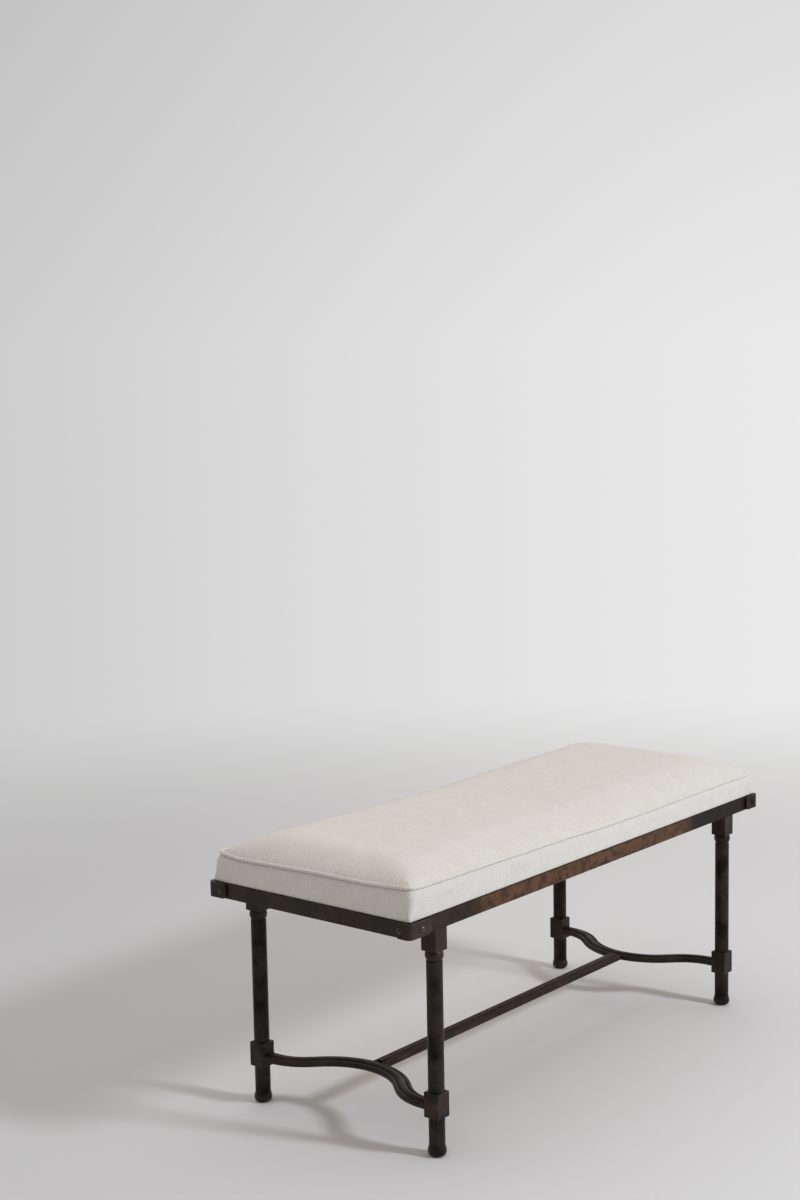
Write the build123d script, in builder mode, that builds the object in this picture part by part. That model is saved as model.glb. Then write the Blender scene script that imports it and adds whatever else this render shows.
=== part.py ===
from build123d import *
import math
import os

# Upholstered wrought iron bench, in millimetres. +Z is up, +X runs along the bench and -Y is its front.
# The origin lies on the floor under the middle of the seat.

os.makedirs("parts", exist_ok=True)

# Seat frame: four lengths of angle iron, mitred at the corners, with the flange at the bottom
seat_length = 1216.8
seat_width = 482.0
rail_bottom = 432.0
rail_height = 28.5
rail_wall = 5.0
flange_width = 42.0
rail_corner_radius = 6.0

# Corner straps: bent flat bar screwed over the mitres, cut to two lengths a leg
strap_wall = 5.0
strap_corner_relief = 0.4
strap_end_radius = 8.0
strap_end_radius_share = 0.4
short_end_leg = 33.0
long_side_leg = 60.0
long_end_leg = 45.0
short_side_leg = 49.0

# Strap screws: slotted round heads, driven into the rail
short_end_screw = 23.5
long_side_screw = 35.0
long_end_screw = 31.5
short_side_screw = 22.0
strap_screw_head_radius = 6.5
strap_screw_head_height = 3.8
strap_screw_shank_radius = 3.0
strap_screw_slot_width = 1.6
strap_screw_slot_depth = 1.8
strap_screw_slot_angles = (25, -50)

# Legs: square blocks on turned bar, joined by spigots
leg_end_inset = 99.1
leg_side_inset = 24.8
shaft_radius = 15.1
top_block_width = 33.9
top_block_height = 46.3
neck_ring_height = 16.7
neck_ring_radius = 17.3
neck_ring_rim_radius = 15.0
neck_groove_width = 3.2
neck_groove_depth = 1.4
stretcher_block_bottom = 73.8
stretcher_block_width = 33.3
stretcher_block_height = 47.6
block_edge_radius = 1.2
block_edge_break = 0.8
foot_height = 19.0
foot_radius = 17.6
foot_wide_height = 9.6
foot_top_radius = 15.6
foot_base_radius = 10.5
spigot_radius = 9.0
spigot_length = 17.5
socket_spare = 1.0
fit_clearance = 0.15

# Stretchers: moulded bar with a domed centre between two beads
stretcher_width = 34.0
stretcher_thickness = 14.0
stretcher_drop = 3.7
stretcher_foot_width = 26.5
bead_level = -0.3
bead_crest = 4.1
bead_crest_place = 12.6
bead_belly_width_share = 0.75
bead_belly_height_share = 0.33
groove_spacing = 15.6
groove_level = 1.3
end_stretcher_bow = 82.5
end_stretcher_lead = 11.0
arc_share = 0.986
outer_arc_share = 0.42

# Seat board and the screws that hold it down on the flange
board_thickness = 12.0
board_gap = 1.5
board_corner_radius = 4.0
board_screw_places = (-0.72, -0.24, 0.24, 0.72)
board_screw_inset = 26.0
board_screw_head_radius = 4.2
board_screw_head_height = 2.6
board_screw_head_chamfer = 1.2
board_screw_shank_radius = 2.1
board_screw_depth = 9.0
flange_hole_clearance = 0.4

# Cushion: foam core in a boxed cover, with a welt along its upper edge
soft_gap = 0.3
cover_wall = 6.0
cushion_end_reveal = 3.0
cushion_side_reveal = 1.8
cushion_corner_radius = 6.0
cushion_end_lean = 13.0
cushion_side_lean = 6.0
side_welt_height = 50.5
end_welt_height = 54.5
corner_welt_height = 58.5
welt_rise_run_side = 160.0
welt_rise_run_end = 100.0
welt_radius = 2.7
welt_corner_radius = 11.0
crown_height = 90.0
crown_saddle = 5.5
crown_run_side = 100.0
crown_run_end = 120.0
crown_end_shares = (0.12, 0.3, 0.56, 1.0)
skirt_gap = 0.5

overrun = 20.0

# Derived places
half_length = seat_length / 2
half_width = seat_width / 2
rail_top = rail_bottom + rail_height
board_bottom = rail_bottom + rail_wall
board_top = board_bottom + board_thickness
leg_x = half_length - leg_end_inset
leg_y = half_width - leg_side_inset
top_block_bottom = rail_bottom - top_block_height
neck_ring_bottom = top_block_bottom - neck_ring_height
stretcher_block_top = stretcher_block_bottom + stretcher_block_height
stretcher_level = stretcher_block_bottom + stretcher_block_height / 2 - stretcher_drop
stretcher_end_y = leg_y - stretcher_block_width / 2
strap_screw_level = rail_bottom + rail_height / 2
bench_corners = {
    "front_left": (-1, -1, short_end_leg, long_side_leg, short_end_screw, long_side_screw),
    "front_right": (1, -1, long_end_leg, short_side_leg, long_end_screw, short_side_screw),
    "back_left": (-1, 1, long_end_leg, short_side_leg, long_end_screw, short_side_screw),
    "back_right": (1, 1, short_end_leg, long_side_leg, short_end_screw, long_side_screw),
}


def strap_screw_spots():
    """Each strap screw: its corner, the way its head faces, and the point on the rail's outer face."""
    spots = []
    for corner, (sx, sy, end_leg, side_leg, end_screw, side_screw) in bench_corners.items():
        end_y = sy * (half_width + strap_wall - end_screw)
        side_x = sx * (half_length + strap_wall - side_screw)
        spots.append((corner, (sx, 0, 0), (sx * half_length, end_y, strap_screw_level)))
        spots.append((corner, (0, sy, 0), (side_x, sy * half_width, strap_screw_level)))
    return spots


def board_screw_spots():
    """Screws along both sides, and one in the middle of each end."""
    spots = []
    for share in board_screw_places:
        for sy in (-1, 1):
            spots.append((share * half_length, sy * (half_width - board_screw_inset)))
    for sx in (-1, 1):
        spots.append((sx * (half_length - board_screw_inset), 0))
    return spots


# Seat frame rails
def frame_rail(mitre_corners):
    """One side of the frame: the whole ring of angle iron, cut back to its own stretch."""
    with BuildPart() as rail:
        with BuildSketch(Plane.XY.offset(rail_bottom)):
            RectangleRounded(seat_length, seat_width, rail_corner_radius)
            Rectangle(seat_length - 2 * rail_wall, seat_width - 2 * rail_wall, mode=Mode.SUBTRACT)
        extrude(amount=rail_height)
        with BuildSketch(Plane.XY.offset(rail_bottom)):
            Rectangle(seat_length - 2 * rail_wall, seat_width - 2 * rail_wall)
            Rectangle(seat_length - 2 * flange_width, seat_width - 2 * flange_width, mode=Mode.SUBTRACT)
        extrude(amount=rail_wall)
        for _, facing, place in strap_screw_spots():
            with BuildSketch(Plane(origin=place, z_dir=facing)):
                Circle(strap_screw_shank_radius + fit_clearance)
            extrude(amount=rail_wall + strap_wall, both=True, mode=Mode.SUBTRACT)
        with BuildSketch(Plane.XY.offset(rail_bottom)):
            with Locations(*board_screw_spots()):
                Circle(board_screw_shank_radius + flange_hole_clearance)
        extrude(amount=rail_wall, mode=Mode.SUBTRACT)
        with BuildSketch(Plane.XY.offset(rail_bottom)):
            Polygon(*mitre_corners)
        extrude(amount=rail_height, mode=Mode.INTERSECT)
    return rail


mitre_x = half_length - half_width
for label, sy in (("front_rail", -1), ("back_rail", 1)):
    side_rail = frame_rail(
        [
            (-half_length, sy * half_width),
            (-mitre_x, 0),
            (mitre_x, 0),
            (half_length, sy * half_width),
        ]
    )
    side_rail.part.label = label
    export_step(side_rail.part, f"parts/{label}.step")

for label, sx in (("left_end_rail", -1), ("right_end_rail", 1)):
    end_rail = frame_rail(
        [
            (sx * half_length, -half_width),
            (sx * mitre_x, 0),
            (sx * half_length, half_width),
        ]
    )
    end_rail.part.label = label
    export_step(end_rail.part, f"parts/{label}.step")


# Corner straps and their screws
def corner_strap(sx, sy, end_leg, side_leg):
    """Flat bar bent round the corner of the frame, with its four end corners rounded."""
    outer_length = seat_length + 2 * strap_wall
    outer_width = seat_width + 2 * strap_wall
    with BuildPart() as strap:
        with BuildSketch(Plane.XY.offset(rail_bottom)):
            RectangleRounded(outer_length, outer_width, rail_corner_radius + strap_wall)
            RectangleRounded(
                seat_length, seat_width, rail_corner_radius - strap_corner_relief, mode=Mode.SUBTRACT
            )
            with Locations((sx * (outer_length - side_leg) / 2, sy * (outer_width - end_leg) / 2)):
                Rectangle(side_leg, end_leg, mode=Mode.INTERSECT)
        extrude(amount=rail_height)
        across_side = strap.edges().filter_by(Axis.Y).sort_by(Axis.X)
        across_end = strap.edges().filter_by(Axis.X).sort_by(Axis.Y)
        side_end = across_side[:2] if sx > 0 else across_side[-2:]
        end_end = across_end[:2] if sy > 0 else across_end[-2:]
        fillet(side_end + end_end, min(strap_end_radius, strap_end_radius_share * rail_height))
        for _, facing, place in strap_screw_spots():
            with BuildSketch(Plane(origin=place, z_dir=facing)):
                Circle(strap_screw_shank_radius + fit_clearance)
            extrude(amount=strap_wall, mode=Mode.SUBTRACT)
    return strap


def strap_screw(facing, place, slot_angle):
    """Slotted round-head screw that stands on the strap and ends flush inside the rail."""
    seat = Plane(origin=place, z_dir=facing).offset(strap_wall)
    side = Plane(origin=seat.origin, x_dir=seat.x_dir, z_dir=-seat.y_dir)
    shank_length = strap_wall + rail_wall
    with BuildPart() as screw:
        with BuildSketch(side):
            with BuildLine():
                TangentArc((0, strap_screw_head_height), (strap_screw_head_radius, 0), tangent=(1, 0))
                Polyline(
                    (strap_screw_head_radius, 0),
                    (strap_screw_shank_radius, 0),
                    (strap_screw_shank_radius, -shank_length),
                    (0, -shank_length),
                    (0, strap_screw_head_height),
                )
            make_face()
        revolve(axis=Axis(seat.origin, seat.z_dir))
        with BuildSketch(seat.offset(strap_screw_head_height)):
            Rectangle(2 * strap_screw_head_radius, strap_screw_slot_width, rotation=slot_angle)
        extrude(amount=-strap_screw_slot_depth, mode=Mode.SUBTRACT)
    return screw.part


for corner, (sx, sy, end_leg, side_leg, *_) in bench_corners.items():
    strap = corner_strap(sx, sy, end_leg, side_leg)
    strap.part.label = f"{corner}_strap"
    export_step(strap.part, f"parts/{corner}_strap.step")

    own_spots = [(facing, place) for owner, facing, place in strap_screw_spots() if owner == corner]
    with BuildPart() as strap_screws:
        for (facing, place), slot_angle in zip(own_spots, strap_screw_slot_angles):
            add(strap_screw(facing, place, slot_angle))
    strap_screws.part.label = f"{corner}_strap_screws"
    export_step(strap_screws.part, f"parts/{corner}_strap_screws.step")


# Legs, from the frame down
def leg_side_plane(x, y):
    """Upright plane through a leg's axis: its x is the distance from the axis, its y the height."""
    return Plane(origin=(x, y, 0), x_dir=(1, 0, 0), z_dir=(0, -1, 0))


def leg_block(x, y, width, bottom, height, mouths):
    """Square block with eased edges, and a blind socket at each mouth, given as (level, direction)."""
    with BuildPart() as block:
        with BuildSketch(Plane.XY.offset(bottom)):
            with Locations((x, y)):
                RectangleRounded(width, width, block_edge_radius)
        extrude(amount=height)
        chamfer(block.faces().filter_by(Axis.Z).edges(), block_edge_break)
        for level, direction in mouths:
            with BuildSketch(Plane.XY.offset(level)):
                with Locations((x, y)):
                    Circle(spigot_radius + fit_clearance)
            extrude(amount=direction * (spigot_length + socket_spare), mode=Mode.SUBTRACT)
    return block


def neck_ring(x, y):
    """Swelled collar that the upper spigot passes through."""
    with BuildPart() as ring:
        with BuildSketch(leg_side_plane(x, y)):
            with BuildLine():
                swell = ThreePointArc(
                    (neck_ring_rim_radius, neck_ring_bottom),
                    (neck_ring_radius, neck_ring_bottom + neck_ring_height / 2),
                    (neck_ring_rim_radius, top_block_bottom),
                )
                Polyline(
                    swell @ 1,
                    (spigot_radius + fit_clearance, top_block_bottom),
                    (spigot_radius + fit_clearance, neck_ring_bottom),
                    swell @ 0,
                )
            make_face()
        revolve(axis=Axis((x, y, 0), (0, 0, 1)))
    return ring


def upper_shaft(x, y):
    """Turned bar between the blocks, necked in under the ring, with a spigot at each end."""
    groove_bottom = neck_ring_bottom - neck_groove_width
    neck_radius = shaft_radius - neck_groove_depth
    upper_end = top_block_bottom + spigot_length
    lower_end = stretcher_block_top - spigot_length
    with BuildPart() as shaft:
        with BuildSketch(leg_side_plane(x, y)):
            with BuildLine():
                Polyline(
                    (shaft_radius, groove_bottom),
                    (neck_radius, groove_bottom),
                    (neck_radius, neck_ring_bottom),
                    (spigot_radius, neck_ring_bottom),
                    (spigot_radius, upper_end),
                    (0, upper_end),
                    (0, lower_end),
                    (spigot_radius, lower_end),
                    (spigot_radius, stretcher_block_top),
                    (shaft_radius, stretcher_block_top),
                    (shaft_radius, groove_bottom),
                )
            make_face()
        revolve(axis=Axis((x, y, 0), (0, 0, 1)))
    return shaft


def lower_shaft(x, y):
    """Plain bar between the lower block and the foot, with a spigot above and a socket below."""
    with BuildPart() as shaft:
        with BuildSketch(Plane.XY.offset(foot_height)):
            with Locations((x, y)):
                Circle(shaft_radius)
        extrude(amount=stretcher_block_bottom - foot_height)
        with BuildSketch(Plane.XY.offset(stretcher_block_bottom)):
            with Locations((x, y)):
                Circle(spigot_radius)
        extrude(amount=spigot_length)
        with BuildSketch(Plane.XY.offset(foot_height)):
            with Locations((x, y)):
                Circle(spigot_radius + fit_clearance)
        extrude(amount=spigot_length + socket_spare, mode=Mode.SUBTRACT)
    return shaft


def bun_foot(x, y):
    """Turned bun with a flat base and a spigot up into the shaft."""
    with BuildPart() as foot:
        with BuildSketch(leg_side_plane(x, y)):
            with BuildLine():
                TangentArc((foot_radius, foot_wide_height), (foot_base_radius, 0), tangent=(0, -1))
                TangentArc(
                    (foot_radius, foot_wide_height), (foot_top_radius, foot_height), tangent=(0, 1)
                )
                Polyline(
                    (foot_top_radius, foot_height),
                    (spigot_radius, foot_height),
                    (spigot_radius, foot_height + spigot_length),
                    (0, foot_height + spigot_length),
                    (0, 0),
                    (foot_base_radius, 0),
                )
            make_face()
        revolve(axis=Axis((x, y, 0), (0, 0, 1)))
    return foot


for corner, (sx, sy, *_) in bench_corners.items():
    x, y = sx * leg_x, sy * leg_y
    lower_mouths = [(stretcher_block_top, -1), (stretcher_block_bottom, 1)]
    leg_pieces = {
        "top_block": leg_block(
            x, y, top_block_width, top_block_bottom, top_block_height, [(top_block_bottom, 1)]
        ),
        "neck_ring": neck_ring(x, y),
        "upper_shaft": upper_shaft(x, y),
        "stretcher_block": leg_block(
            x, y, stretcher_block_width, stretcher_block_bottom, stretcher_block_height, lower_mouths
        ),
        "lower_shaft": lower_shaft(x, y),
        "foot": bun_foot(x, y),
    }
    for piece_name, piece in leg_pieces.items():
        piece.part.label = f"{corner}_{piece_name}"
        export_step(piece.part, f"parts/{corner}_{piece_name}.step")


# Stretchers
def moulded_section(plane):
    """Section of the stretcher bar: flat foot, two side beads and a domed centre."""
    half_bar = stretcher_width / 2
    half_foot = stretcher_foot_width / 2
    half_groove = groove_spacing / 2
    floor, crest = -stretcher_thickness / 2, stretcher_thickness / 2
    belly_x = half_foot + bead_belly_width_share * (half_bar - half_foot)
    belly_y = floor + bead_belly_height_share * (bead_level - floor)
    with BuildSketch(plane) as section:
        with BuildLine():
            Line((-half_foot, floor), (half_foot, floor))
            for side in (-1, 1):
                ThreePointArc(
                    (side * half_foot, floor),
                    (side * belly_x, belly_y),
                    (side * half_bar, bead_level),
                )
                ThreePointArc(
                    (side * half_bar, bead_level),
                    (side * bead_crest_place, bead_crest),
                    (side * half_groove, groove_level),
                )
            ThreePointArc((-half_groove, groove_level), (0, crest), (half_groove, groove_level))
        make_face()
    return section


# The bow of an end stretcher: out of the block, round, straight and back round to its apex
bow_span = stretcher_end_y - end_stretcher_lead
bow_reach = math.hypot(bow_span, end_stretcher_bow)
both_arcs = arc_share * bow_reach ** 2 / (2 * end_stretcher_bow)
outer_arc_radius = outer_arc_share * both_arcs
inner_arc_radius = both_arcs - outer_arc_radius
bow_straight = bow_reach * math.sqrt(1 - arc_share)
centre_reach = math.hypot(bow_span, both_arcs - end_stretcher_bow)
bow_turn = math.degrees(
    math.asin(both_arcs / centre_reach) - math.atan2(both_arcs - end_stretcher_bow, bow_span)
)
apex_x = leg_x - end_stretcher_bow


for label, sx in (("left_end_stretcher", -1), ("right_end_stretcher", 1)):
    start = (sx * leg_x, -stretcher_end_y, stretcher_level)
    turn = sx * bow_turn
    with BuildPart() as end_stretcher:
        with BuildLine() as bow:
            lead_in = Line(start, (sx * leg_x, -bow_span, stretcher_level))
            first_arc = JernArc(lead_in @ 1, lead_in % 1, outer_arc_radius, turn)
            first_run = Line(first_arc @ 1, first_arc @ 1 + first_arc % 1 * bow_straight)
            apex_arc = JernArc(first_run @ 1, first_run % 1, inner_arc_radius, -2 * turn)
            last_run = Line(apex_arc @ 1, apex_arc @ 1 + apex_arc % 1 * bow_straight)
            last_arc = JernArc(last_run @ 1, last_run % 1, outer_arc_radius, turn)
            Line(last_arc @ 1, (sx * leg_x, stretcher_end_y, stretcher_level))
        bar = moulded_section(Plane(origin=start, x_dir=(-1, 0, 0), z_dir=(0, 1, 0)))
        sweep(bar.sketch, path=bow.line)
    end_stretcher.part.label = label
    export_step(end_stretcher.part, f"parts/{label}.step")

with BuildPart() as centre_stretcher:
    bar = moulded_section(Plane(origin=(-apex_x, 0, stretcher_level), x_dir=(0, 1, 0), z_dir=(1, 0, 0)))
    extrude(bar.sketch, amount=2 * apex_x)
    with BuildSketch(Plane.XY.offset(stretcher_level)):
        with Locations((-apex_x - inner_arc_radius, 0), (apex_x + inner_arc_radius, 0)):
            Circle(inner_arc_radius + stretcher_width / 2 + fit_clearance)
    extrude(amount=stretcher_thickness, both=True, mode=Mode.SUBTRACT)
centre_stretcher.part.label = "centre_stretcher"
export_step(centre_stretcher.part, "parts/centre_stretcher.step")


# Seat board and its screws
with BuildPart() as seat_board:
    with BuildSketch(Plane.XY.offset(board_bottom)):
        RectangleRounded(
            seat_length - 2 * (rail_wall + board_gap),
            seat_width - 2 * (rail_wall + board_gap),
            board_corner_radius,
        )
    extrude(amount=board_thickness)
    with BuildSketch(Plane.XY.offset(board_bottom)):
        with Locations(*board_screw_spots()):
            Circle(board_screw_shank_radius + fit_clearance)
    extrude(amount=board_screw_depth + socket_spare, mode=Mode.SUBTRACT)
seat_board.part.label = "seat_board"
export_step(seat_board.part, "parts/seat_board.step")

with BuildPart() as board_screws:
    with BuildSketch(Plane.XY.offset(rail_bottom)):
        with Locations(*board_screw_spots()):
            Circle(board_screw_head_radius)
    extrude(amount=-board_screw_head_height)
    chamfer(board_screws.edges().group_by(Axis.Z)[0], board_screw_head_chamfer)
    with BuildSketch(Plane.XY.offset(rail_bottom)):
        with Locations(*board_screw_spots()):
            Circle(board_screw_shank_radius)
    extrude(amount=rail_wall + board_screw_depth)
board_screws.part.label = "board_screws"
export_step(board_screws.part, "parts/board_screws.step")


# Cushion
cushion_bottom = rail_top + soft_gap
cushion_half_length = half_length - cushion_end_reveal
cushion_half_width = half_width - cushion_side_reveal
welt_x = cushion_half_length - cushion_end_lean
welt_y = cushion_half_width - cushion_side_lean
corner_welt_level = rail_top + corner_welt_height
side_welt_level = rail_top + side_welt_height
end_welt_level = rail_top + end_welt_height
crown_top = rail_top + crown_height


def side_edge_level(x):
    """Height of the long upper edge at x: level along the middle, swept up towards the corners."""
    start = welt_x - welt_corner_radius - welt_rise_run_side
    share = min(max((abs(x) - start) / welt_rise_run_side, 0), 1)
    rise = 2 * share ** 2 if share < 1 / 2 else 1 - 2 * (1 - share) ** 2
    return side_welt_level + rise * (corner_welt_level - side_welt_level)


def crown_level(x):
    """Height along the middle of the cushion at x: a slight saddle, rounding down at the ends."""
    distance = welt_x - abs(x)
    dip = crown_saddle * (min(distance, welt_x) / welt_x) ** 2
    share = min(distance / crown_run_end, 1)
    return end_welt_level + (crown_top - dip - end_welt_level) * (1 - (1 - share) ** 3)


def cushion_form(inset):
    """The cushion's shape, drawn in by inset all round."""
    full_height = crown_height + overrun
    end_lean = cushion_end_lean * full_height / end_welt_height
    side_lean = cushion_side_lean * full_height / side_welt_height
    inner_place = welt_x - 2 * crown_run_end
    places = [welt_x + overrun, welt_x]
    places += [welt_x - share * crown_run_end for share in crown_end_shares]
    places += [inner_place, inner_place / 2, 0]
    places += [-place for place in reversed(places[:-1])]
    edge_y = welt_y - inset
    flat_y = edge_y - crown_run_side
    with BuildPart() as form:
        with BuildSketch(Plane.XY.offset(cushion_bottom + inset)):
            RectangleRounded(
                2 * (cushion_half_length - inset), 2 * (cushion_half_width - inset), cushion_corner_radius
            )
        with BuildSketch(Plane.XY.offset(cushion_bottom + inset + full_height)):
            RectangleRounded(
                2 * (cushion_half_length - inset - end_lean),
                2 * (cushion_half_width - inset - side_lean),
                welt_corner_radius,
            )
        loft(ruled=True)
        for place in places:
            edge = side_edge_level(place) - inset
            rise = crown_level(place) - inset - edge
            outer_share = overrun / crown_run_side
            outer = edge + rise * (1 - (1 + outer_share) ** 2)
            half_share = (1 - outer_share) / 2
            half = edge + rise * (1 - (1 - half_share) ** 2)
            with BuildSketch(Plane(origin=(place, 0, 0), x_dir=(0, 1, 0), z_dir=(1, 0, 0))):
                with BuildLine():
                    for side in (-1, 1):
                        ThreePointArc(
                            (side * (edge_y + overrun), outer),
                            (side * (edge_y - half_share * crown_run_side), half),
                            (side * flat_y, edge + rise),
                        )
                        Line((side * (edge_y + overrun), board_bottom), (side * (edge_y + overrun), outer))
                    Line((-flat_y, edge + rise), (flat_y, edge + rise))
                    Line((-edge_y - overrun, board_bottom), (edge_y + overrun, board_bottom))
                make_face()
        loft(mode=Mode.INTERSECT)
        with BuildSketch(Plane.XY.offset(board_top + soft_gap + inset)):
            Rectangle(
                seat_length - 2 * (rail_wall + skirt_gap + inset),
                seat_width - 2 * (rail_wall + skirt_gap + inset),
            )
        extrude(amount=cushion_bottom - board_top - soft_gap)
    return form.part


def rising_edge(start, end):
    """Two tangent arcs from start to end that leave and arrive level."""
    start, end = Vector(*start), Vector(*end)
    level_way = Vector(end.X - start.X, end.Y - start.Y, 0).normalized()
    first = TangentArc(start, (start + end) / 2, tangent=level_way)
    TangentArc(first @ 1, end, tangent=first % 1)


def welt_side(way_x, way_y, half_run, half_across, middle_level, rise_run):
    """One side of the welt, heading along (way_x, way_y), and the corner that it ends in."""
    out_x, out_y = way_y, -way_x

    def at(along, level):
        return (
            way_x * along + out_x * half_across,
            way_y * along + out_y * half_across,
            level,
        )

    reach = half_run - welt_corner_radius
    middle = reach - rise_run
    rising_edge(at(-reach, corner_welt_level), at(-middle, middle_level))
    Line(at(-middle, middle_level), at(middle, middle_level))
    rising_edge(at(middle, middle_level), at(reach, corner_welt_level))
    JernArc(at(reach, corner_welt_level), (way_x, way_y, 0), welt_corner_radius, 90)


with BuildLine() as welt_line:
    welt_side(1, 0, welt_x, welt_y, side_welt_level, welt_rise_run_side)
    welt_side(0, 1, welt_y, welt_x, end_welt_level, welt_rise_run_end)
    welt_side(-1, 0, welt_x, welt_y, side_welt_level, welt_rise_run_side)
    welt_side(0, -1, welt_y, welt_x, end_welt_level, welt_rise_run_end)


def welt_cord(radius):
    """A cord of this radius along the cushion's upper edge."""
    with BuildPart() as cord:
        with BuildSketch(Plane(origin=(0, -welt_y, side_welt_level), z_dir=(1, 0, 0))):
            Circle(radius)
        sweep(path=welt_line.line)
    return cord.part


with BuildPart() as cushion_cover:
    add(cushion_form(0))
    add(cushion_form(cover_wall), mode=Mode.SUBTRACT)
    add(welt_cord(welt_radius + soft_gap), mode=Mode.SUBTRACT)
cushion_cover.part.label = "cushion_cover"
export_step(cushion_cover.part, "parts/cushion_cover.step")

with BuildPart() as foam_core:
    add(cushion_form(cover_wall + soft_gap))
foam_core.part.label = "foam_core"
export_step(foam_core.part, "parts/foam_core.step")

with BuildPart() as cushion_welt:
    add(welt_cord(welt_radius))
cushion_welt.part.label = "cushion_welt"
export_step(cushion_welt.part, "parts/cushion_welt.step")
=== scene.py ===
# %% [markdown]
# # An upholstered wrought iron bench
# The bench has a frame of dark waxed iron on four turned legs, and a boxed cushion with a crowned
# top and a welt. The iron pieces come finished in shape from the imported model, at their real size,
# so Blender only gives them their surface. The cushion comes as a plain stand-in, and is made
# again here as sewn and stuffed cloth.

import math

import bpy
import numpy as np
from mathutils import Matrix, Vector


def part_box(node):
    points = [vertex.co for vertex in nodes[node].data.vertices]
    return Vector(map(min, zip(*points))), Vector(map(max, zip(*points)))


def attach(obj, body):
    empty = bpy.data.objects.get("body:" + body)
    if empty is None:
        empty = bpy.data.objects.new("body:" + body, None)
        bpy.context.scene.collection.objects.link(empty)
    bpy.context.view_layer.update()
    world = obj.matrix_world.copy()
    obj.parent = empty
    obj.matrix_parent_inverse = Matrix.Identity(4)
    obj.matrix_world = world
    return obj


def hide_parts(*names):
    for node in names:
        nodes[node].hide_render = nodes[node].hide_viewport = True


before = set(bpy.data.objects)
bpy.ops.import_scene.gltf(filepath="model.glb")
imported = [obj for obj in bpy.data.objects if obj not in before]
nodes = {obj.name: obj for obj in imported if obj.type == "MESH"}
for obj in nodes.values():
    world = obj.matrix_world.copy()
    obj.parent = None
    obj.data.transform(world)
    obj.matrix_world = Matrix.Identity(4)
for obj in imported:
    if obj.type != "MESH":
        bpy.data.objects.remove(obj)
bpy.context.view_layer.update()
MM = 0.001

# %% [markdown]
# ## The camera
# The photographer stood off the near left corner and looked down a little. The place, the angles
# and the focal length were solved from the bench itself: the edges of the frame, the legs, the
# blocks and the feet each fix a line of sight, and one camera fits them all.

# %% Make the camera
CAMERA_PLACE = Vector((-3.1600, -2.3271, 1.4626))
CAMERA_YAW = math.radians(39.377)
CAMERA_PITCH = math.radians(7.473)
CAMERA_ROLL = math.radians(1.022)
IMAGE_HEIGHT_PX = 1200
FOCAL_PX = 1954.18
SENSOR_MM = 36.0

forward = Vector(
    (
        math.cos(CAMERA_PITCH) * math.cos(CAMERA_YAW),
        math.cos(CAMERA_PITCH) * math.sin(CAMERA_YAW),
        -math.sin(CAMERA_PITCH),
    )
)
level_right = Vector((math.sin(CAMERA_YAW), -math.cos(CAMERA_YAW), 0))
level_down = forward.cross(level_right)
right = math.cos(CAMERA_ROLL) * level_right + math.sin(CAMERA_ROLL) * level_down
down = math.cos(CAMERA_ROLL) * level_down - math.sin(CAMERA_ROLL) * level_right

camera_data = bpy.data.cameras.new("camera")
camera_data.sensor_width = SENSOR_MM
camera_data.lens = FOCAL_PX / IMAGE_HEIGHT_PX * SENSOR_MM
camera = bpy.data.objects.new("camera", camera_data)
bpy.context.scene.collection.objects.link(camera)
turn = Matrix((right, -down, -forward)).transposed()
camera.matrix_world = Matrix.Translation(CAMERA_PLACE) @ turn.to_4x4()
bpy.context.scene.camera = camera
print("lens", round(camera_data.lens, 2), "mm")

# %% [markdown]
# ## Helpers
# Colours are given as sRGB hex, and Blender calculates in linear light, so one function
# converts them. One small function adds a node, sets it and links it, which keeps each material
# readable as a list of layers.


# %% Define the colour and node helpers
RANGE_ENDS = ("From Min", "From Max", "To Min", "To Max")


def linear(hex_colour):
    """Turns an sRGB hex such as "d8d2c8" into linear RGBA."""
    channels = [int(hex_colour[i:i + 2], 16) / 255 for i in (0, 2, 4)]
    curved = [c / 12.92 if c <= 0.04045 else ((c + 0.055) / 1.055) ** 2.4 for c in channels]
    return (*curved, 1.0)


def add_node(tree, kind, inputs=None, **settings):
    """Adds a node. An input takes a value, a socket, or a node, which gives its first output."""
    made = tree.nodes.new(kind)
    for name, value in settings.items():
        setattr(made, name, value)
    for key, value in (inputs or {}).items():
        if isinstance(value, bpy.types.Node):
            value = next(socket for socket in value.outputs if socket.enabled)
        if isinstance(value, bpy.types.NodeSocket):
            tree.links.new(value, made.inputs[key])
        else:
            made.inputs[key].default_value = value
    return made


def new_material(name):
    """An empty node material with its output, and the tree to add to."""
    made = bpy.data.materials.new(name)
    made.use_nodes = True
    made.node_tree.nodes.clear()
    output = add_node(made.node_tree, "ShaderNodeOutputMaterial")
    return made, made.node_tree, output


print("middle grey in linear light", round(linear("808080")[0], 3))
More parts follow.
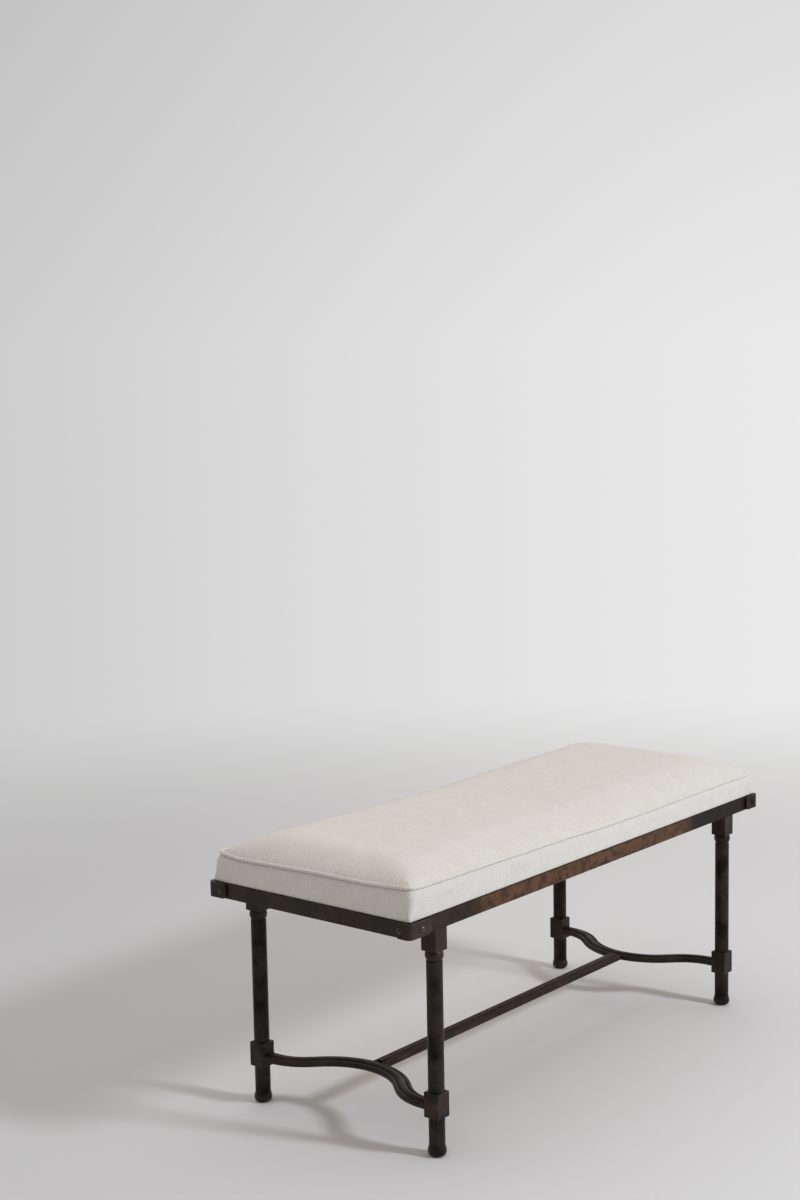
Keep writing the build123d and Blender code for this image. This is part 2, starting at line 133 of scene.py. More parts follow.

# %% [markdown]
# ## The iron
# The bench is wrought and turned iron, blackened by its fire scale and kept with wax. Scale is
# thin and uneven: it is nearly black where it is whole, brown where it has rubbed down, and
# orange-brown where old rust was waxed over. Wax leaves a low satin gloss, and gathers dirt in
# every groove and corner. Edges are rubbed a little lighter. The layers below follow that: two
# patchy tones, rust in patches, dark specks, lighter edges found with the Bevel node, which are
# partly wear and partly painted highlight, dark hollows and joins found with the Ambient Occlusion
# node, which are partly grime and partly painted shade, uneven roughness, and a bump of hammer and
# scale. Scale is a glassy oxide over metal, so the surface is only partly metallic.

# %% Define the waxed iron
HAMMER_MARK = 16 * MM
HAMMER_DEPTH = 0.9 * MM
SCALE_GRAIN = 2.4 * MM
SCALE_DEPTH = 0.28 * MM
PATCH_SIZE = 42 * MM
RUST_PATCH = 20 * MM
EDGE_ROUNDING = 1.1 * MM
HOLLOW_REACH = 7 * MM
RUST_FADE_NEAR = 110 * MM
RUST_FADE_FAR = 50 * MM
FAR_TONE_FADE = 60 * MM
SPECK_TONE = "1a1613"
# Grime and painted shade: the colour laid into hollows and joins found by occlusion
GRIME_AND_SHADE_TONE = "130e0b"
IRON_NOISES = {
    "patches": (PATCH_SIZE, 5.0, 0.6),
    "rust": (RUST_PATCH, 6.0, 0.68),
    "specks": (SCALE_GRAIN, 3.0, 0.7),
    "hammer": (HAMMER_MARK, 1.0, 0.6),
    "scale": (SCALE_GRAIN, 4.0, 0.6),
}


def waxed_iron(name, dark, brown, edge, rust="6a4a36", rust_share=0.25, rust_span=None,
               far_tone=None, roughness=0.42, metallic=0.25, specular=0.2, grime_and_shade=0.75):
    """Waxed black iron. rust_span keeps the rust between two places along the bench, and past
    the second of them the iron takes far_tone."""
    material, tree, output = new_material(name)
    place = add_node(tree, "ShaderNodeTexCoord").outputs["Object"]
    along = add_node(tree, "ShaderNodeSeparateXYZ", {"Vector": place}).outputs["X"]
    noise = {}
    for layer, (size, detail, rough) in IRON_NOISES.items():
        inputs = {"Vector": place, "Scale": 1 / size, "Detail": detail, "Roughness": rough}
        noise[layer] = add_node(tree, "ShaderNodeTexNoise", inputs)
    rounded_edge = add_node(tree, "ShaderNodeBevel", {"Radius": EDGE_ROUNDING}, samples=6)
    flat = add_node(tree, "ShaderNodeNewGeometry").outputs["Normal"]
    rubbed_and_highlit_edge = add_node(tree, "ShaderNodeVectorMath", {0: rounded_edge, 1: flat},
                      operation="DOT_PRODUCT")
    hollow = add_node(tree, "ShaderNodeAmbientOcclusion", {"Distance": HOLLOW_REACH}, samples=8)

    # A layer is a colour and its masks: a value, the two ends it runs between, and what they give
    layers = [(brown, [(noise["patches"], 0.36, 0.64, 0.0, 1.0)])]
    rusted = [(noise["rust"], 0.52, 0.7, 0.0, rust_share)]
    if rust_span:
        start, end = rust_span
        layers.append((far_tone, [(along, end, end + FAR_TONE_FADE, 0.0, 1.0)]))
        rusted = [
            (along, start, start + RUST_FADE_NEAR, 0.0, 1.0),
            (along, end + RUST_FADE_FAR, end, 0.0, 1.0),
            (noise["rust"], 0.4, 0.56, 0.22 * rust_share, rust_share),
        ]
    layers += [
        (rust, rusted),
        (SPECK_TONE, [(noise["specks"], 0.58, 0.4, 0.0, 0.3)]),
        # Lighter edges: partly rubbed wear, partly a painted highlight along each edge
        (edge, [(rubbed_and_highlit_edge, 0.995, 0.86, 0.0, 0.7)]),
        # Grime and painted shade in grooves, corners and the joins between parts, found by occlusion
        (GRIME_AND_SHADE_TONE, [(hollow.outputs["AO"], 0.85, 0.4, 0.0, grime_and_shade)]),
    ]
    tone = linear(dark)
    for colour, masks in layers:
        amount = 1.0
        for value, *ends in masks:
            mask = add_node(tree, "ShaderNodeMapRange",
                            {"Value": value, **dict(zip(RANGE_ENDS, ends))},
                            interpolation_type="SMOOTHSTEP")
            amount = add_node(tree, "ShaderNodeMath", {0: amount, 1: mask}, operation="MULTIPLY")
        tone = add_node(tree, "ShaderNodeMix", {0: amount, 6: tone, 7: linear(colour)},
                        data_type="RGBA")

    gloss_ends = (0.3, 0.7, roughness - 0.08, roughness + 0.12)
    gloss = add_node(tree, "ShaderNodeMapRange",
                     {"Value": noise["patches"], **dict(zip(RANGE_ENDS, gloss_ends))},
                     interpolation_type="SMOOTHSTEP")
    relief = rounded_edge
    for layer, strength, depth in (("hammer", 0.45, HAMMER_DEPTH), ("scale", 0.4, SCALE_DEPTH)):
        inputs = {"Height": noise[layer], "Normal": relief, "Strength": strength, "Distance": depth}
        relief = add_node(tree, "ShaderNodeBump", inputs)
    surface = add_node(
        tree,
        "ShaderNodeBsdfPrincipled",
        {
            "Base Color": tone,
            "Roughness": gloss,
            "Normal": relief,
            "Metallic": metallic,
            "Specular IOR Level": specular,
        },
    )
    tree.links.new(surface.outputs["BSDF"], output.inputs["Surface"])
    return material


print("iron patterns", {layer: round(size / MM, 1) for layer, (size, _, _) in IRON_NOISES.items()})

# %% [markdown]
# The pieces have worn differently, so each kind has its own tones. The turned legs are nearly
# black, the forged blocks browner, the moulded bars red-brown with more grime and painted shade in
# their grooves, and the long rails carry rust along their middle. The neck rings and feet were
# turned smooth and shine a little more. The screw heads are coloured brightest, partly for rubbed
# wear and partly as a painted highlight. The straps at the far right end, away from the window,
# get a darker and duller copy of the iron, as painted shade.

# %% Mix the iron finishes
leg_iron = waxed_iron("waxed_black_iron", dark="13110f", brown="38312a", edge="544a41",
                      rust="46342a", roughness=0.38, metallic=0.4, specular=0.15)
ring_iron = waxed_iron("waxed_turned_iron", dark="1a1512", brown="3a2f28", edge="64574c",
                       rust="50392c", roughness=0.27, metallic=0.45, specular=0.3)
block_iron = waxed_iron("waxed_brown_iron", dark="1e1814", brown="3c312a", edge="64574c",
                        rust="5a4133", rust_share=0.5)
bar_iron = waxed_iron("waxed_moulded_bar", dark="24211d", brown="362c25", edge="564b3f",
                      rust="503729", rust_share=0.45, grime_and_shade=0.95)
long_bar_iron = waxed_iron("waxed_long_bar", dark="1f1712", brown="35261e", edge="4f3e31",
                           rust="54362a", rust_share=0.6, roughness=0.45, grime_and_shade=0.95)
# Painted shade: the far straps get a darker, duller copy of the iron
far_strap_shaded_iron = waxed_iron("waxed_far_strap_iron_painted_shade", dark="1c1713", brown="2b241e", edge="40362e",
                      metallic=0.12, specular=0.1)
end_iron = waxed_iron("waxed_end_rail_iron", dark="2e2822", brown="40372f", edge="5c5046",
                      rust="46382d")
rail_iron = waxed_iron("waxed_rusty_rail_iron", dark="241e19", brown="3a3029", edge="5a4b40",
                       rust="6c4a34", rust_share=0.9, rust_span=(-460 * MM, 300 * MM),
                       far_tone="231c17", metallic=0.12, specular=0.1)
# The screw heads' light tones: partly rubbed wear, partly a painted highlight
screw_iron_wear_and_highlight = waxed_iron("screw_iron_wear_and_highlight", dark="463f37", brown="625950", edge="a3988a",
                        roughness=0.3, metallic=0.6)
print("mixed", len(bpy.data.materials), "iron finishes")

# %% [markdown]
# Each iron node takes the finish of its place on the bench: long rails with rust under the wax,
# greyer end rails, blacker turned legs, browner forged blocks. A finish is put into the node's own
# material slots, so its mesh stays as it was modelled.


# %% Give the iron nodes their finish
FINISHES = {
    "front_rail": rail_iron,
    "back_rail": rail_iron,
    "rail": end_iron,
    "strap": end_iron,
    "screws": screw_iron_wear_and_highlight,
    "block": block_iron,
    "ring": ring_iron,
    "shaft": leg_iron,
    "foot": ring_iron,
    "centre_stretcher": long_bar_iron,
    # The far straps and their screws take the darker copy of the iron: painted shade
    "front_right_strap": far_strap_shaded_iron,
    "back_right_strap": far_strap_shaded_iron,
    "front_right_strap_screws": far_strap_shaded_iron,
    "stretcher": bar_iron,
}


def finish_node(name, material):
    """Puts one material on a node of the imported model."""
    slots = nodes[name].data.materials
    slots.clear()
    slots.append(material)


finished = 0
for name in nodes:
    finish = FINISHES.get(name) or FINISHES.get(name.split("_")[-1])
    if finish:
        finish_node(name, finish)
        finished += 1
print("finished", finished, "iron nodes")

# %% [markdown]
# ## The seat board
# Under the cushion lies a board of birch plywood, seen only from below. Its face veneer has long
# pale grain.

# %% Finish the plywood board
GRAIN_WIDTH = 5 * MM
GRAIN_STRETCH = 0.06
GRAIN_RELIEF = 0.2 * MM


def plywood():
    """Raw birch plywood: pale, with long soft grain along the board."""
    material, tree, output = new_material("raw_birch_plywood")
    place = add_node(tree, "ShaderNodeTexCoord").outputs["Object"]
    stretched = add_node(tree, "ShaderNodeMapping",
                         {"Vector": place, "Scale": (GRAIN_STRETCH, 1.0, 1.0)})
    grain = add_node(
        tree,
        "ShaderNodeTexNoise",
        {"Vector": stretched, "Scale": 1 / GRAIN_WIDTH, "Detail": 6.0, "Distortion": 0.6},
    )
    tone = add_node(tree, "ShaderNodeMix", {0: grain, 6: linear("b08a5e"), 7: linear("d9bd93")},
                    data_type="RGBA")
    fibres = add_node(tree, "ShaderNodeBump",
                      {"Height": grain, "Strength": 0.3, "Distance": GRAIN_RELIEF})
    surface = add_node(tree, "ShaderNodeBsdfPrincipled",
                       {"Base Color": tone, "Roughness": 0.62, "Normal": fibres})
    tree.links.new(surface.outputs["BSDF"], output.inputs["Surface"])
    return material


finish_node("seat_board", plywood())
print("plywood grain", round(GRAIN_WIDTH / MM, 1), "mm wide")

# %% [markdown]
# ## The cloth
# The cover is a heavy off-white twill of thick yarns. Each warp yarn passes over two weft yarns
# and under two, and every row steps one yarn aside, so the floats line up in diagonal ribs.
# Counted on the front of the band, a rib comes round every 7.4 mm along and every 5.8 mm up: four
# yarns each way, so the yarns are 1.85 and 1.45 mm apart. The pattern is worked out yarn by yarn
# on the cover's own UV map, in metres, so it keeps its size and follows each panel. The hollows
# between the yarns are coloured darker as painted shade. Where the cloth meets the welt or the
# frame, the Ambient Occlusion node finds the crease and paints shade into it. On the top the cloth
# lies a quarter turn round, as the photographed hatch does.

# %% Make the cloth material
WARP_PITCH = 1.85 * MM
WEFT_PITCH = 1.45 * MM
WEFT_HEIGHT = 0.75
SLUB_LENGTH = 24 * MM
SLUB_WIDTH = 0.7
WANDER_SIZE = 30 * MM
WANDER = 1.3 * MM
CLOUD_SIZE = 45 * MM
CLOUD_SHARE = 0.25
CREASE_SHADE_REACH = 2 * MM
THREAD_RELIEF = 0.35 * MM


def twill(name, warp="e8e7e3", weft="d9d7d2", hollow="b6b1aa", crease_shade="7d776c"):
    """Thick 2/2 twill: light warp, darker weft, painted shade in the hollows between the yarns, and
    a painted shade line where the cloth meets the welt or the frame."""
    material, tree, output = new_material(name)
    uv = add_node(tree, "ShaderNodeUVMap", uv_map="panel")
    wander = add_node(tree, "ShaderNodeTexNoise",
                      {"Vector": uv, "Scale": 1 / WANDER_SIZE, "Detail": 2.0})
    centred = add_node(tree, "ShaderNodeVectorMath",
                       {0: wander.outputs["Color"], 1: (0.5, 0.5, 0.5)}, operation="SUBTRACT")
    offset = add_node(tree, "ShaderNodeVectorMath", {0: centred, "Scale": 4 * WANDER},
                      operation="SCALE")
    place = add_node(tree, "ShaderNodeVectorMath", {0: uv, 1: offset}, operation="ADD")
    split = add_node(tree, "ShaderNodeSeparateXYZ", {"Vector": place})

    # Per yarn: its number, its round height (0 in the hollow, 1 on its crest) and its own tone
    number, crest, slubs = {}, {}, {}
    slub_scales = {
        "warp": (SLUB_WIDTH / WARP_PITCH, 1 / SLUB_LENGTH, 1.0),
        "weft": (1 / SLUB_LENGTH, SLUB_WIDTH / WEFT_PITCH, 1.0),
    }
    for yarn, axis, pitch in (("warp", "X", WARP_PITCH), ("weft", "Y", WEFT_PITCH)):
        position = add_node(tree, "ShaderNodeMath", {0: split.outputs[axis], 1: pitch},
                            operation="DIVIDE")
        number[yarn] = add_node(tree, "ShaderNodeMath", {0: position}, operation="FLOOR")
        over = add_node(tree, "ShaderNodeMath", {0: position}, operation="FRACT")
        side = add_node(tree, "ShaderNodeMath", {0: over, 1: 2.0, 2: -1.0},
                        operation="MULTIPLY_ADD")
        squared = add_node(tree, "ShaderNodeMath", {0: side, 1: side}, operation="MULTIPLY")
        crest[yarn] = add_node(tree, "ShaderNodeMath", {0: 1.0, 1: squared}, operation="SUBTRACT")
        stretched = add_node(tree, "ShaderNodeMapping",
                             {"Vector": place, "Scale": slub_scales[yarn]})
        slubs[yarn] = add_node(tree, "ShaderNodeTexNoise",
                               {"Vector": stretched, "Scale": 1.0, "Detail": 1.5})

    # The numbers of two crossing yarns, counted in fours, say which one lies on top
    both = add_node(tree, "ShaderNodeMath", {0: number["warp"], 1: number["weft"]},
                    operation="ADD")
    quarters = add_node(tree, "ShaderNodeMath", {0: both, 1: 0.25}, operation="MULTIPLY")
    turn = add_node(tree, "ShaderNodeMath", {0: quarters}, operation="FRACT")
    warp_on_top = add_node(tree, "ShaderNodeMath", {0: turn, 1: 0.45}, operation="LESS_THAN")
    low_weft = add_node(tree, "ShaderNodeMath", {0: crest["weft"], 1: WEFT_HEIGHT},
                        operation="MULTIPLY")
    height = add_node(tree, "ShaderNodeMix", {0: warp_on_top, 2: low_weft, 3: crest["warp"]})
    slub = add_node(tree, "ShaderNodeMix", {0: warp_on_top, 2: slubs["weft"], 3: slubs["warp"]})
    clouds = add_node(tree, "ShaderNodeTexNoise",
                      {"Vector": uv, "Scale": 1 / CLOUD_SIZE, "Detail": 3.0})
    shade = add_node(tree, "ShaderNodeMix", {0: CLOUD_SHARE, 2: slub, 3: clouds})
    # Painted shade for the crease beside the welt and the frame, found by occlusion
    crease_occlusion = add_node(tree, "ShaderNodeAmbientOcclusion", {"Distance": CREASE_SHADE_REACH}, samples=6)

    tone = add_node(tree, "ShaderNodeMix", {0: warp_on_top, 6: linear(weft), 7: linear(warp)},
                    data_type="RGBA")
    # Layers: random darker yarn patches, painted shade in yarn hollows, painted shade in creases
    layers = (
        (hollow, shade, 0.62, 0.36, 0.0, 0.34),
        (hollow, height, 0.6, 0.0, 0.0, 0.55),
        (crease_shade, crease_occlusion.outputs["AO"], 0.66, 0.36, 0.0, 0.75),
    )
    for colour, value, *ends in layers:
        amount = add_node(tree, "ShaderNodeMapRange",
                          {"Value": value, **dict(zip(RANGE_ENDS, ends))})
        tone = add_node(tree, "ShaderNodeMix", {0: amount, 6: tone, 7: linear(colour)},
                        data_type="RGBA")
    threads = add_node(tree, "ShaderNodeBump",
                       {"Height": height, "Strength": 0.35, "Distance": THREAD_RELIEF})
    surface = add_node(
        tree,
        "ShaderNodeBsdfPrincipled",
        {
            "Base Color": tone,
            "Roughness": 0.95,
            "Normal": threads,
            "Sheen Weight": 0.06,
            "Sheen Roughness": 0.6,
            "Specular IOR Level": 0.2,
        },
    )
    tree.links.new(surface.outputs["BSDF"], output.inputs["Surface"])
    return material


cover_cloth = twill("upholstery_twill")
rib_along, rib_up = 4 * WARP_PITCH / MM, 4 * WEFT_PITCH / MM
print("twill ribs every", round(rib_along, 1), "mm along and", round(rib_up, 1), "mm up")

# %% [markdown]
# ## The cushion's shape
# A boxed cushion is two panels joined by a side band, stuffed until its top crowns. This one was
# sewn by hand, so its upper seam wanders: it is highest at the near left corner and some 12 mm
# lower at the right end. The seam's level was read along each visible side and is written down as
# a few places and heights above the frame. The top leaves the seam steeply, rolls over and
# flattens out. The shape is a grid that keeps to the panels: top, band, a short skirt inside the
# frame and a flat underside, so the seam runs along one row of the grid.

# %% Measure the stand-in and name the cushion's sizes
cover_low, cover_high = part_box("cushion_cover")
FRAME_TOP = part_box("front_rail")[1].z
BASE_X = cover_high.x
BASE_Y = cover_high.y
CUSHION_FLOOR = cover_low.z
SKIRT_X = BASE_X - 2.6 * MM
SKIRT_Y = BASE_Y - 3.8 * MM
SEAM_X = BASE_X - 13 * MM
SEAM_Y = BASE_Y - 6 * MM
SEAM_CORNER = 11 * MM
BASE_CORNER = 4.5 * MM
CROWN = 99 * MM
SADDLE = 11.6 * MM
CROWN_RUN_SIDE = 127 * MM
CROWN_RUN_END = 100 * MM
ROLL_HEIGHT = 5 * MM
ROLL_RUN_SIDE = 14 * MM
ROLL_RUN_END = 12 * MM
PUFF = 2.6 * MM
print("cushion", round(2 * BASE_X, 3), "by", round(2 * BASE_Y, 3), "m")
print("frame top at", round(FRAME_TOP, 4), "m")

# %% [markdown]
# Each side's seam is a list of pairs in millimetres: the place along the side, and the level above
# the frame. The lists are joined by straight lines and then averaged over 30 mm, because cloth has
# no kinks.

# %% Write down how high the seam runs
FRONT_SEAM = ((-592, 56.5), (-550, 54), (-490, 52.9), (-370, 51.5), (-310, 50.8), (-250, 49.2),
              (-160, 48.1), (-100, 47.3), (-40, 45.2), (20, 43.2), (140, 42.6), (230, 42.2),
              (320, 43.6), (470, 44.3), (592, 44.2))
BACK_SEAM = ((-592, 52), (-480, 49.3), (-300, 48), (0, 46.4), (300, 46), (480, 46.3), (592, 48))
NEAR_END_SEAM = ((-233, 56.5), (-210, 55.2), (-180, 52.8), (-120, 50.1), (0, 49.9), (45, 48.3),
                 (105, 47.3), (150, 46), (185, 45.6), (215, 48.5), (233, 52))
FAR_END_SEAM = ((-233, 44.2), (-180, 44), (-60, 45.5), (60, 46), (180, 46.6), (233, 48))
SEAM_LIFT = 1 * MM
SEAM_STEP = 2 * MM
SMOOTH_SPREAD = 7
SMOOTH_REACH = 20


def along_seam(knots, places):
    """The seam's level at places along a side, smoothed over so many steps."""
    at, level = np.array(knots, float).T * MM
    fine = np.arange(at[0], at[-1] + 1e-6, SEAM_STEP)
    weights = np.exp(-0.5 * (np.arange(-SMOOTH_REACH, SMOOTH_REACH + 1) / SMOOTH_SPREAD) ** 2)
    padded = np.pad(np.interp(fine, at, level), SMOOTH_REACH, mode="reflect", reflect_type="odd")
    return np.interp(places, fine, np.convolve(padded, weights / weights.sum(), mode="valid"))


def seam_level(x, y):
    """The seam's height for a point of the top: the four sides' levels, weighed by nearness."""
    gaps = [SEAM_Y + y, SEAM_Y - y, SEAM_X + x, SEAM_X - x]
    levels = [along_seam(FRONT_SEAM, x), along_seam(BACK_SEAM, x)]
    levels += [along_seam(NEAR_END_SEAM, y), along_seam(FAR_END_SEAM, y)]
    weights = [1 / np.maximum(gap, 1e-5) ** 2 for gap in gaps]
    return FRAME_TOP + SEAM_LIFT + sum(w * v for w, v in zip(weights, levels)) / sum(weights)


print("front seam from", FRONT_SEAM[0][1], "to", FRONT_SEAM[-1][1], "mm above the frame")

# %% [markdown]
# The crown is worked out from how far a point lies from the nearest end and side. Two rises are
# added: a short steep roll beside the seam, and the long crown, which sags a little towards the
# middle of the bench.

# %% Shape the crown

def joined(along, across):
    """Joins the rise from an end and the rise from a side into one, round where the two meet."""
    return (np.maximum(along, 1e-6) ** -3 + np.maximum(across, 1e-6) ** -3) ** (-1 / 3)


def rise(gap, run, power):
    """0 at the seam, 1 at run and beyond, steepest at the seam."""
    return 1 - (1 - np.clip(gap / run, 0, 1)) ** power


def crown_level(x, y):
    """Height of the stuffed top, and how much of the crown's rise is reached there."""
    edge = seam_level(x, y)
    to_end = SEAM_X - np.abs(x)
    to_side = SEAM_Y - np.abs(y)
    roll = joined(rise(to_end, ROLL_RUN_END, 2), rise(to_side, ROLL_RUN_SIDE, 2))
    crown = joined(rise(to_end, CROWN_RUN_END, 2.2), rise(to_side, CROWN_RUN_SIDE, 2.2))
    top = FRAME_TOP + CROWN - SADDLE * (1 - np.abs(x) / SEAM_X) ** 2
    return edge + ROLL_HEIGHT * roll + (top - edge - ROLL_HEIGHT) * crown, crown


middle_height = float(crown_level(np.array(0.0), np.array(0.0))[0])
print("the middle of the top lies", round(middle_height, 4), "m above the floor")

# %% [markdown]
# ## The grid
# Rows lie close together beside the seams, where the cloth bends most. The plan's corners are
# rounded by pressing a square of the grid into a quarter disc. Between its corners each side is
# drawn in a little, and below the seam the band swells, most of all near the corners, where two
# stuffed edges meet.

# %% Lay out the grid
BORDER_STEPS = (0, 1.8, 4.2, 7.5, 12, 18)
COARSE_STEP = 8.2
PULL_IN_SIDE = 2.0 * MM
PULL_IN_END = 1.2 * MM
BAND_SWELL = 2.4 * MM
CORNER_SWELL = 3.0 * MM
CORNER_SWELL_RUN = 70 * MM


def axis_places(half):
    """Places across a panel in metres: close together beside the seams, then even."""
    border = [half - step * MM for step in BORDER_STEPS]
    count = math.ceil(2 * border[-1] / (COARSE_STEP * MM))
    middle = np.linspace(-border[-1], border[-1], count + 1)[1:-1]
    return np.array([-v for v in border] + list(middle) + border[::-1])


def rounded(x, y, half_x, half_y, corner):
    """Rounds the corners of a rectangle of points in plan."""
    in_x = np.clip((np.abs(x) - half_x + corner) / corner, 0, 1)
    in_y = np.clip((np.abs(y) - half_y + corner) / corner, 0, 1)
    both = (in_x > 0) & (in_y > 0)
    round_x = in_x * np.sqrt(1 - in_y**2 / 2)
    round_y = in_y * np.sqrt(1 - in_x**2 / 2)
    new_x = np.where(both, np.sign(x) * (half_x - corner + corner * round_x), x)
    new_y = np.where(both, np.sign(y) * (half_y - corner + corner * round_y), y)
    return new_x, new_y


def drawn_in(x, y):
    """Draws each side in between its corners."""
    share_x, share_y = np.abs(x) / SEAM_X, np.abs(y) / SEAM_Y
    in_x = PULL_IN_END * (1 - share_y**2) * share_x**6
    in_y = PULL_IN_SIDE * (1 - share_x**2) * share_y**4
    return x - np.sign(x) * in_x, y - np.sign(y) * in_y


class Panels:
    """Collects the vertices, faces and panel coordinates of the cushion."""

    def __init__(self):
        self.points = []
        self.faces = []
        self.uvs = []
        self.panels = []

    def add_points(self, points):
        first = len(self.points)
        self.points.extend(tuple(p) for p in points)
        return first

    def add_face(self, corners, uvs, panel):
        self.faces.append(corners)
        self.uvs.append(uvs)
        self.panels.append(panel)


print("a panel has", len(axis_places(SEAM_X)), "by", len(axis_places(SEAM_Y)), "points")

# %% [markdown]
# The top panel comes first. Its rim, walked round from the near corner, is the seam. The band
# hangs from it in rows, and each row knows how far down it lies as a share of the band's height.

# %% Build the top panel and its rim
PUFF_RISE = 1.6

shape = Panels()
grid_x, grid_y = np.meshgrid(axis_places(SEAM_X), axis_places(SEAM_Y), indexing="ij")
nx, ny = grid_x.shape
top_x, top_y = drawn_in(*rounded(grid_x, grid_y, SEAM_X, SEAM_Y, SEAM_CORNER))
top_z, inner_share = crown_level(grid_x, grid_y)
slack_z = top_z - PUFF * np.clip(inner_share * PUFF_RISE, 0, 1)
shape.add_points(np.stack([top_x, top_y, slack_z], -1).reshape(-1, 3))
for i in range(nx - 1):
    for j in range(ny - 1):
        corners = [(i, j), (i + 1, j), (i + 1, j + 1), (i, j + 1)]
        places = [(-float(grid_y[c]), float(grid_x[c])) for c in corners]
        shape.add_face([a * ny + b for a, b in corners], places, "top")

rim = [(i, 0) for i in range(nx - 1)]
rim += [(nx - 1, j) for j in range(ny - 1)]
rim += [(i, ny - 1) for i in range(nx - 1, 0, -1)]
rim += [(0, j) for j in range(ny - 1, 0, -1)]
rim_x, rim_y, rim_level = [
    np.array([grid[cell] for cell in rim]) for grid in (grid_x, grid_y, top_z)
]
steps = np.hypot(np.diff(rim_x, append=rim_x[0]), np.diff(rim_y, append=rim_y[0]))
rim_length = np.concatenate([[0], np.cumsum(steps)])
print("seam length", round(float(rim_length[-1]), 3), "m")
print("seam level", np.round([rim_level.min(), rim_level.max()], 4))

# %% [markdown]
# The band's rows follow the seam at the top and come level at the frame. There the cover tucks in
# under itself, a short skirt hides inside the frame, and a flat underside closes it.

# %% Work out the rows of the band
BAND_SHARES = (0.035, 0.08, 0.14, 0.21, 0.3, 0.4, 0.51, 0.62, 0.73, 0.83, 0.92)
BAND_FOOT = 5.0 * MM
TUCK = ((0.0, 5.0), (0.0, 3.0), (0.7, 1.2), (2.4, 0.5))
SKIRT_LEVELS = (FRAME_TOP - 1 * MM, FRAME_TOP - 6 * MM, CUSHION_FLOOR + 1.5 * MM)
UNDER_INSET = 1.5 * MM
SWELL_TO_ONE = 9.48
base_level = FRAME_TOP + BAND_FOOT


def band_row(half_x, half_y, corner, level, swell=0.0, pulled=1.0):
    """One row round the cushion at a half length, half width and level, pushed out by its swell."""
    x, y = rounded(rim_x / SEAM_X * half_x, rim_y / SEAM_Y * half_y, half_x, half_y, corner)
    in_x, in_y = drawn_in(x, y)
    x, y = x + (in_x - x) * pulled, y + (in_y - y) * pulled
    from_corner = SEAM_X - np.abs(rim_x) + SEAM_Y - np.abs(rim_y)
    to_corner = np.minimum(from_corner, CORNER_SWELL_RUN) / CORNER_SWELL_RUN
    outward = swell * (BAND_SWELL + CORNER_SWELL * (1 - to_corner) ** 2)
    core_x = np.clip(x, -half_x + corner, half_x - corner)
    core_y = np.clip(y, -half_y + corner, half_y - corner)
    way_x, way_y = x - core_x, y - core_y
    length = np.maximum(np.hypot(way_x, way_y), 1e-9)
    return np.stack([x + way_x / length * outward, y + way_y / length * outward, level], -1)


rows = []
for share in BAND_SHARES:
    half_x = SEAM_X + (BASE_X - SEAM_X) * share
    half_y = SEAM_Y + (BASE_Y - SEAM_Y) * share
    corner = SEAM_CORNER + (BASE_CORNER - SEAM_CORNER) * share
    swell = SWELL_TO_ONE * share * (1 - share) ** 3
    level = rim_level + (base_level - rim_level) * share
    rows.append(band_row(half_x, half_y, corner, level, swell, 1 - share))
flat = np.ones(len(rim))
for inset, above in TUCK:
    half_x, half_y = BASE_X - inset * MM, BASE_Y - inset * MM
    rows.append(band_row(half_x, half_y, BASE_CORNER, flat * (FRAME_TOP + above * MM), pulled=0.0))
for level in SKIRT_LEVELS:
    rows.append(band_row(SKIRT_X, SKIRT_Y, BASE_CORNER, flat * level, pulled=0.0))
UNDER_X, UNDER_Y = SKIRT_X - UNDER_INSET, SKIRT_Y - UNDER_INSET
rows.append(band_row(UNDER_X, UNDER_Y, BASE_CORNER, flat * CUSHION_FLOOR, pulled=0.0))
print(len(rows), "rows round the cushion")

# %% Join the rows and close the underside
above = [a * ny + b for a, b in rim]
level_above = rim_level
for row in rows:
    first = shape.add_points(row)
    below = list(range(first, first + len(rim)))
    for k in range(len(rim)):
        after = (k + 1) % len(rim)
        u0, u1 = float(rim_length[k]), float(rim_length[k + 1])
        places = [
            (u0, float(level_above[k])),
            (u0, float(row[k, 2])),
            (u1, float(row[after, 2])),
            (u1, float(level_above[after])),
        ]
        shape.add_face([above[k], below[k], below[after], above[after]], places, "band")
    above, level_above = below, row[:, 2]

under_x, under_y = rounded(
    grid_x / SEAM_X * UNDER_X, grid_y / SEAM_Y * UNDER_Y, UNDER_X, UNDER_Y, BASE_CORNER
)
inner = [(i, j) for i in range(1, nx - 1) for j in range(1, ny - 1)]
first = shape.add_points([(under_x[c], under_y[c], CUSHION_FLOOR) for c in inner])
under_index = dict(zip(rim, above))
under_index.update({cell: first + k for k, cell in enumerate(inner)})
for i in range(nx - 1):
    for j in range(ny - 1):
        corners = [(i, j), (i, j + 1), (i + 1, j + 1), (i + 1, j)]
        places = [(float(grid_x[c]), float(grid_y[c])) for c in corners]
        shape.add_face([under_index[c] for c in corners], places, "underside")
seam_points = np.array([(top_x[cell], top_y[cell], top_z[cell]) for cell in rim])


def mesh_object(name, shape, material):
    """Makes the collected grid an object with its panel UV map."""
    mesh = bpy.data.meshes.new(name)
    mesh.from_pydata(shape.points, [], shape.faces)
    layer = mesh.uv_layers.new(name="panel")
    layer.data.foreach_set("uv", [c for uvs in shape.uvs for uv in uvs for c in uv])
    mesh.polygons.foreach_set("use_smooth", [True] * len(mesh.polygons))
    mesh.materials.append(material)
    made = bpy.data.objects.new(name, mesh)
    bpy.context.scene.collection.objects.link(made)
    return made


cushion = mesh_object("cushion", shape, cover_cloth)
print("cushion grid", len(shape.points), "points,", len(shape.faces), "faces")

